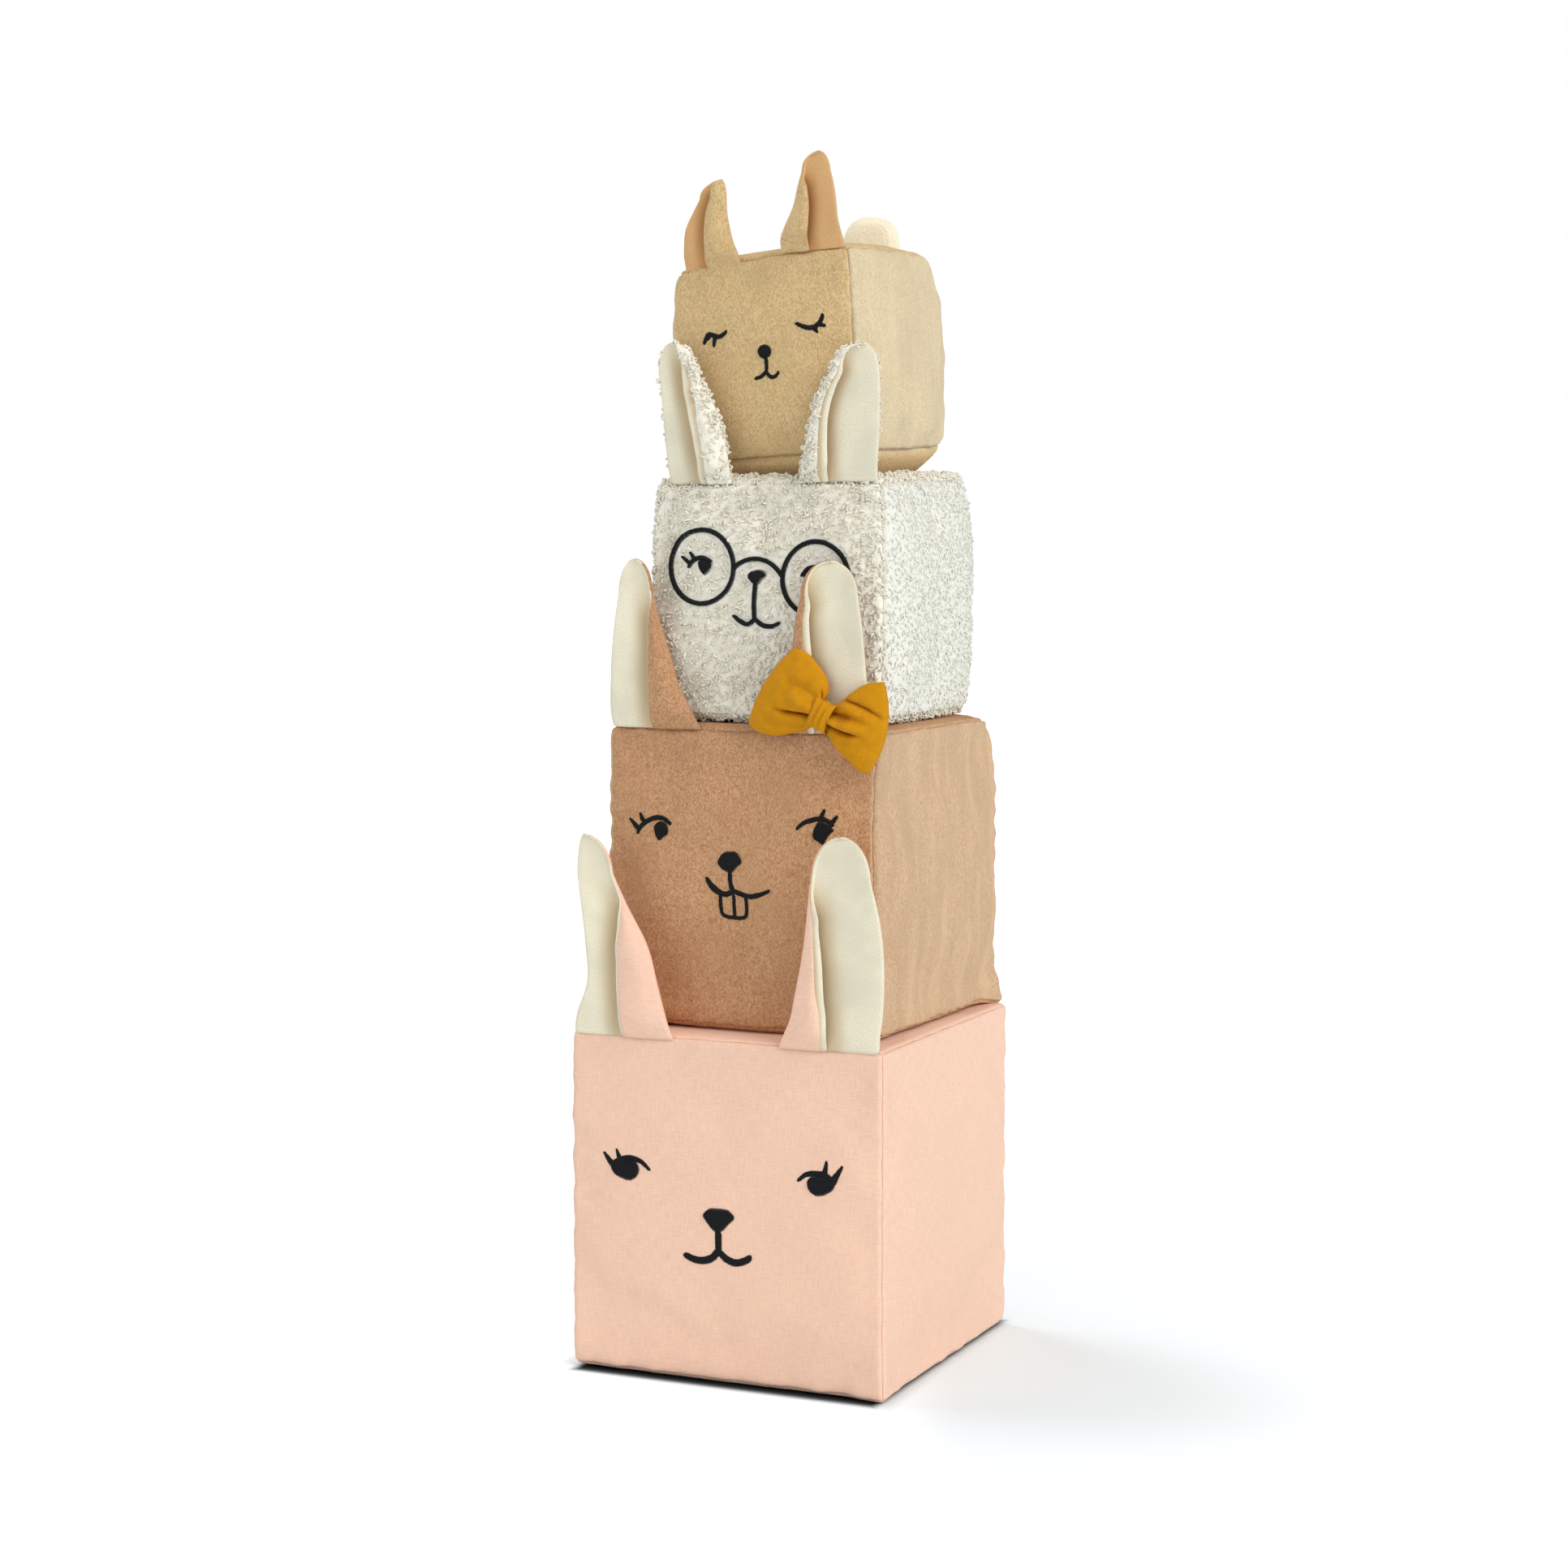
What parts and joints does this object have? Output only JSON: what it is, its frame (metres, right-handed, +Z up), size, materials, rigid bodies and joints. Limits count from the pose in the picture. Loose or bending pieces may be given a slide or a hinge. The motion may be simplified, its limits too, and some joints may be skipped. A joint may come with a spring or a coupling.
{
  "type": "soft fabric block",
  "caption": "Tower of soft fabric cubes with embroidered animal faces and folded fabric ears; the upper cubes lift off and the ears fold forward.",
  "frame": {"origin": "centre of the lowest block's flat base, where the stack rests", "axes": "+Z up the stack, the faces look along -Y, +X to the right of someone who looks at the faces"},
  "size_m": [0.1622, 0.1714, 0.5663],
  "materials": {
    "pink_cotton": "fine plain-woven cotton",
    "brown_plush": "short brushed velour plush",
    "white_terry": "curly looped terry pile",
    "tan_plush": "short velour plush",
    "cream_lining": "brushed cotton",
    "tan_lining": "smooth brushed cotton",
    "embroidery_thread": "satin stitch in matt thread",
    "mustard_cotton": "creased plain-woven cotton",
    "tail_plush": "short plush",
    "cut_foam": "open-cell foam",
    "polyester_fibre": "carded fibre filling"
  },
  "bodies": {
    "brown_block": {"brown_back_panel": "brown_plush", "brown_bottom_panel": "brown_plush", "brown_fibre_filling": "polyester_fibre", "brown_front_panel": "brown_plush", "brown_left_eye": "embroidery_thread", "brown_left_panel": "brown_plush", "brown_nose_mouth": "embroidery_thread", "brown_right_eye": "embroidery_thread", "brown_right_panel": "brown_plush", "brown_top_panel": "brown_plush"},
    "brown_right_ear": {"brown_bow_knot": "mustard_cotton", "brown_bow_loops": "mustard_cotton", "brown_right_ear_lining": "cream_lining", "brown_right_ear_outer": "brown_plush"},
    "brown_left_ear": {"brown_left_ear_lining": "cream_lining", "brown_left_ear_outer": "brown_plush"},
    "pink_block": {"pink_back_panel": "pink_cotton", "pink_bottom_panel": "pink_cotton", "pink_foam_core": "cut_foam", "pink_front_panel": "pink_cotton", "pink_left_eye": "embroidery_thread", "pink_left_panel": "pink_cotton", "pink_nose_mouth": "embroidery_thread", "pink_right_eye": "embroidery_thread", "pink_right_panel": "pink_cotton", "pink_top_panel": "pink_cotton"},
    "pink_left_ear": {"pink_left_ear_lining": "cream_lining", "pink_left_ear_outer": "pink_cotton"},
    "pink_right_ear": {"pink_right_ear_lining": "cream_lining", "pink_right_ear_outer": "pink_cotton"},
    "tan_block": {"tan_back_panel": "tan_plush", "tan_bottom_panel": "tan_plush", "tan_fibre_filling": "polyester_fibre", "tan_front_panel": "tan_plush", "tan_left_eye": "embroidery_thread", "tan_left_panel": "tan_plush", "tan_nose_mouth": "embroidery_thread", "tan_right_eye": "embroidery_thread", "tan_right_panel": "tan_plush", "tan_tail": "tail_plush", "tan_top_panel": "tan_plush"},
    "tan_left_ear": {"tan_left_ear_lining": "tan_lining", "tan_left_ear_outer": "tan_plush"},
    "tan_right_ear": {"tan_right_ear_lining": "tan_lining", "tan_right_ear_outer": "tan_plush"},
    "white_block": {"white_back_panel": "white_terry", "white_bottom_panel": "white_terry", "white_fibre_filling": "polyester_fibre", "white_front_panel": "white_terry", "white_glasses": "embroidery_thread", "white_left_eye": "embroidery_thread", "white_left_panel": "white_terry", "white_nose_mouth": "embroidery_thread", "white_right_eye": "embroidery_thread", "white_right_panel": "white_terry", "white_top_panel": "white_terry"},
    "white_left_ear": {"white_left_ear_lining": "cream_lining", "white_left_ear_outer": "white_terry"},
    "white_right_ear": {"white_right_ear_lining": "cream_lining", "white_right_ear_outer": "white_terry"}
  },
  "joints": [
    {"name": "brown_lift", "type": "slide", "parent": "pink_block", "child": "brown_block", "axis": [0, 0, 1], "range_m": [0, 0.11]},
    {"name": "white_lift", "type": "slide", "parent": "brown_block", "child": "white_block", "axis": [0, 0, 1], "range_m": [0, 0.095]},
    {"name": "tan_lift", "type": "slide", "parent": "white_block", "child": "tan_block", "axis": [0, 0, 1], "range_m": [0, 0.08]},
    {"name": "pink_left_ear_fold", "type": "hinge", "parent": "pink_block", "child": "pink_left_ear", "pos_m": [-0.0775, -0.08495, 0.16142], "axis": [1, 0, 0], "range_deg": [0, 90], "stiffness_Nm_per_rad": 0.004},
    {"name": "pink_right_ear_fold", "type": "hinge", "parent": "pink_block", "child": "pink_right_ear", "pos_m": [0.0772, -0.08495, 0.16142], "axis": [1, 0, 0], "range_deg": [0, 90], "stiffness_Nm_per_rad": 0.004},
    {"name": "brown_left_ear_fold", "type": "hinge", "parent": "brown_block", "child": "brown_left_ear", "pos_m": [-0.06688, -0.06278, 0.30296], "axis": [0.9998, -0.0174, 0], "range_deg": [0, 90], "stiffness_Nm_per_rad": 0.004},
    {"name": "brown_right_ear_fold", "type": "hinge", "parent": "brown_block", "child": "brown_right_ear", "pos_m": [0.0666, -0.06511, 0.30296], "axis": [0.9998, -0.0174, 0], "range_deg": [0, 7], "stiffness_Nm_per_rad": 0.006},
    {"name": "white_left_ear_fold", "type": "hinge", "parent": "white_block", "child": "white_left_ear", "pos_m": [-0.03921, -0.05612, 0.41437], "axis": [0.9998, 0.0174, 0], "range_deg": [0, 90], "stiffness_Nm_per_rad": 0.004},
    {"name": "white_right_ear_fold", "type": "hinge", "parent": "white_block", "child": "white_right_ear", "pos_m": [0.06338, -0.05435, 0.41437], "axis": [0.9998, 0.0174, 0], "range_deg": [0, 90], "stiffness_Nm_per_rad": 0.004},
    {"name": "tan_left_ear_fold", "type": "hinge", "parent": "tan_block", "child": "tan_left_ear", "pos_m": [-0.03794, -0.04518, 0.51622], "axis": [0.997, -0.0647, 0.0436], "range_deg": [0, 90], "stiffness_Nm_per_rad": 0.004},
    {"name": "tan_right_ear_fold", "type": "hinge", "parent": "tan_block", "child": "tan_right_ear", "pos_m": [0.0453, -0.05063, 0.51991], "axis": [0.997, -0.0647, 0.0436], "range_deg": [0, 90], "stiffness_Nm_per_rad": 0.004}
  ]
}
